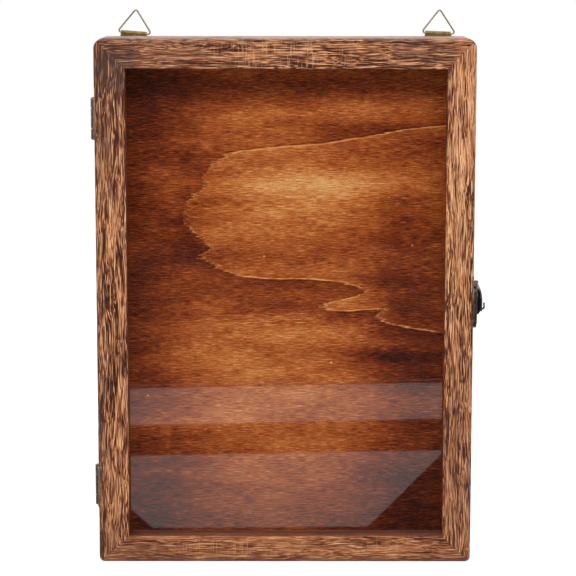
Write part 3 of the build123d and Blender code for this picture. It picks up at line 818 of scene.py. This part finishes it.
# Metal pieces: node, body, slot, metal, facet in mm or 0 for none, and the share of a foot in
# painted shade
metal_pieces = (
    ("upper_hinge_case_leaf", "case", "hinge_metal", "hinge_bronze", 0.6),
    ("lower_hinge_case_leaf", "case", "hinge_metal", "hinge_bronze", 0.6),
    ("upper_hinge_door_leaf", "door", "hinge_metal", "hinge_bronze", 0.6),
    ("lower_hinge_door_leaf", "door", "hinge_metal", "hinge_bronze", 0.6),
    ("upper_hinge_pin", "case", "hinge_metal", "hinge_bronze", 0),
    ("lower_hinge_pin", "case", "hinge_metal", "hinge_bronze", 0),
    ("latch_plate", "case", "latch_metal", "latch_bronze", 0.5),
    ("latch_flap", "latch_flap", "latch_metal", "latch_bronze", 0.5, 0.45),
    ("latch_catch", "door", "latch_metal", "catch_bronze_in_painted_shade", 0.5),
    ("latch_pivot_pin", "case", "latch_metal", "latch_bronze", 0),
    ("left_hanger_strap", "case", "hanger_metal", "strap_brass", 0.6),
    ("right_hanger_strap", "case", "hanger_metal", "strap_brass", 0.6),
    ("left_hanger_ring", "left_ring", "hanger_metal", "ring_steel", 0),
    ("right_hanger_ring", "right_ring", "hanger_metal", "ring_steel", 0),
    ("hinge_case_screws", "case", "screw_steel", "screw_steel", 0),
    ("hinge_door_screws", "door", "screw_steel", "screw_steel", 0),
    ("hanger_screws", "case", "screw_steel", "screw_steel", 0),
    ("latch_plate_nails", "case", "latch_metal", "latch_bronze", 0),
    ("latch_catch_nails", "door", "latch_metal", "latch_bronze", 0),
)


def bends_of(form, side):
    """How sharp the edges (side 1) or the corners (side -1) at each point are, from 0 to 1."""
    sharpest = [
        max([0.0] + [side * edge.calc_face_angle_signed(0.0) for edge in v.link_edges])
        for v in form.verts
    ]
    bends = [held((angle - gentle_bend) / (arris_angle - gentle_bend)) for angle in sharpest]
    around = [[edge.other_vert(v).index for edge in v.link_edges] for v in form.verts]
    return [(b + sum(bends[i] for i in near) / len(near)) / 2 for b, near in zip(bends, around)]


def unshaded_share(form, node, painted_shade_foot):
    """0 in the painted shade of the lowest part, 1 above the share painted_shade_foot of the node's
    height.
    """
    foot, head = (corner.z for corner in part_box(node))
    return [held((v.co.z - foot) / (head - foot) / painted_shade_foot * 2 - 1) for v in form.verts]


def rubbed_and_highlit_metal(node, body, slot, metal, facet, painted_shade_foot=0.0):
    """A metal piece that knows its edges (wear and painted highlight) and corners (grime and
    painted shade).
    """
    form = merged_copy(node)
    cut_in_facets(form, [facet * mm] * 3)
    keep_arrises(form)
    form.verts.index_update()
    rubbed_and_highlit = bends_of(form, 1)
    grime_and_shade = bends_of(form, -1)
    # Painted shade over the lowest part of the piece
    if painted_shade_foot:
        unshaded = unshaded_share(form, node, painted_shade_foot)
        rubbed_and_highlit = [r * c for r, c in zip(rubbed_and_highlit, unshaded)]
        grime_and_shade = [g * c + (1 - c) for g, c in zip(grime_and_shade, unshaded)]
    # Edges: wear and painted highlight. Corners: grime and painted shade.
    carry(form, "rubbed_and_highlit", rubbed_and_highlit)
    carry(form, "grime_and_shade", grime_and_shade)
    finished(form, node, "worn", metals[metal], body)


for piece in metal_pieces:
    rubbed_and_highlit_metal(*piece)

# CAD nodes that show as they are, under a finish of their own
node_finishes = {
    "glass_pane": clear_glass("pane_glass"),
    "glazing_bead_top": plain_wood("bead_finish_across", "x", (2.0, 0.0, 1.0)),
    "glazing_bead_bottom": plain_wood("bead_finish_foot", "x", (8.0, 0.0, 4.0)),
    "glazing_bead_left": plain_wood("bead_finish_left", "z", (4.0, 0.0, 3.0)),
    "glazing_bead_right": plain_wood("bead_finish_right", "z", (6.0, 0.0, 9.0)),
    "case_corner_brads": metals["pin_steel"],
    "door_corner_brads": metals["pin_steel"],
    "back_panel_pins": metals["pin_steel"],
    "glazing_pins": metals["pin_steel"],
}
for node, material in node_finishes.items():
    mesh = nodes[node].data
    mesh.materials.clear()
    mesh.materials.append(material)


# Stage: a pale floor and, as painted reflections in the pane, sheets lying and standing in front of
# the box
def rectangle(reach, near, far):
    return [(-reach, near), (reach, near), (reach, far), (-reach, far)]


def lying(outline, height):
    return [(x, y, height) for x, y in outline]


def standing(outline, distance):
    return [(x, distance, z) for x, z in outline]


def stage_sheet(name, corners, material):
    """A flat sheet with its corners at those places, in mm."""
    form = bmesh.new()
    form.faces.new([form.verts.new(Vector(corner) * mm) for corner in corners])
    form.normal_update()
    sheet = skinned(name, form, material)
    return sheet


def seen_straight(tree):
    """1 for what the lens, metal or the pane looks at, 0 for the light that falls on things."""
    path = tree.nodes.new("ShaderNodeLightPath")
    seen = path.outputs["Is Camera Ray"]
    for look in ("Is Glossy Ray", "Is Transmission Ray"):
        either = tree.nodes.new("ShaderNodeMath")
        either.operation = "MAXIMUM"
        tree.links.new(seen, either.inputs[0])
        tree.links.new(path.outputs[look], either.inputs[1])
        seen = either.outputs[0]
    return seen


def pale_floor():
    """A matt floor that is a little brighter to look at than the light on it makes it."""
    floor = Finish("pale_floor")
    floor.set(
        Base_Color=tone(232, 232, 231),
        Roughness=0.85,
        Specular_IOR_Level=0.1,
        Emission_Color=(1, 1, 1, 1),
        Emission_Strength=floor.times(seen_straight(floor.tree), 0.62),
    )
    return floor.material


def mirrored_sheet(name, brightness):
    """A glowing sheet that shows only in mirrors, a painted reflection: a look that meets no mirror
    first goes on through it.
    """
    sheet = Finish(name)
    glow = sheet.add("ShaderNodeEmission")
    glow.inputs["Strength"].default_value = brightness
    mirrors_met = sheet.add("ShaderNodeLightPath").outputs["Glossy Depth"]
    mirrored = sheet.math("GREATER_THAN", mirrors_met, 0.5)
    open_way = sheet.add("ShaderNodeBsdfTransparent").outputs[0]
    sheet.feed(sheet.surface, sheet.either(mirrored, open_way, glow.outputs[0]))
    return sheet.material


# Sheets, in mm: the floor, and the painted reflections: dark ground and wall in front of the box,
# pale bands
floor_reach = 4000
room_reach = 2500
room_front = -1500
ground_end = -26
ground_height = 0.5
band_height = 1
far_band = [(-600, -493), (600, -617), (600, -471), (-600, -342)]
far_fringe = [(-600, -510), (600, -634), (600, -627), (-600, -503)]
near_band = [(-160, -284), (128, -307), (116, -290), (54, -86), (-86, -83)]

stage_sheet("floor", lying(rectangle(floor_reach, -floor_reach, floor_reach), 0), pale_floor())

dark_reflection_sheet = mirrored_sheet("dark_reflection_sheet", 0.015)
dim_reflection_sheet = mirrored_sheet("dim_reflection_sheet", 0.045)
fringe_reflection_sheet = mirrored_sheet("fringe_reflection_sheet", 0.3)
pale_reflection_sheet = mirrored_sheet("pale_reflection_sheet", 0.75)
ground = rectangle(room_reach, room_front, ground_end)
wall = rectangle(room_reach, 0, room_reach)
for name, corners, material in (
    ("mirrored_dark_ground", lying(ground, ground_height), dim_reflection_sheet),
    ("mirrored_dark_wall", standing(wall, room_front), dark_reflection_sheet),
    ("far_band", lying(far_band, band_height), pale_reflection_sheet),
    ("far_fringe", lying(far_fringe, band_height), fringe_reflection_sheet),
    ("near_band", lying(near_band, band_height), pale_reflection_sheet),
):
    sheet = stage_sheet(name, corners, material)
    sheet.visible_camera = False
    sheet.visible_diffuse = False
    sheet.visible_shadow = False

# World: white where it is looked at, and half as bright as a light
world_light = 0.5
world = bpy.data.worlds.new("studio")
bpy.context.scene.world = world
world.use_nodes = True
sky = world.node_tree
backdrop = sky.nodes["Background"]
backdrop.inputs["Color"].default_value = (1, 1, 1, 1)
brightness = sky.nodes.new("ShaderNodeMapRange")
brightness.inputs["To Min"].default_value = world_light
brightness.inputs["To Max"].default_value = 1.0
sky.links.new(seen_straight(sky), brightness.inputs["Value"])
sky.links.new(brightness.outputs[0], backdrop.inputs["Strength"])


def soft_lamp(name, place, aim, width, height, power):
    lamp = bpy.data.lights.new(name, "AREA")
    lamp.shape = "RECTANGLE"
    lamp.size = width
    lamp.size_y = height
    lamp.energy = power
    facing = (Vector(aim) - Vector(place)).to_track_quat("-Z", "Y")
    placed(name, lamp).matrix_world = Matrix.Translation(place) @ facing.to_matrix().to_4x4()


soft_lamp("front_lamp", (0.0, -1.5, 0.95), (0.0, 0.0, 0.16), width=1.3, height=0.5, power=15.0)
soft_lamp("top_lamp", (0.0, 0.1, 1.6), (0.0, 0.0, 0.2), width=1.2, height=1.2, power=8.0)

lens = bpy.data.cameras.new("lens")
lens.lens = camera_lens
lens.sensor_width = camera_film
lens.sensor_fit = "HORIZONTAL"
camera = placed("camera", lens)
camera.matrix_world = (
    Matrix.Translation(camera_place)
    @ Matrix.Rotation(-camera_yaw, 4, "Z")
    @ Matrix.Rotation(math.pi / 2 - camera_pitch, 4, "X")
    @ Matrix.Rotation(camera_roll, 4, "Z")
)
bpy.context.scene.camera = camera
bpy.context.scene.view_settings.view_transform = "Standard"
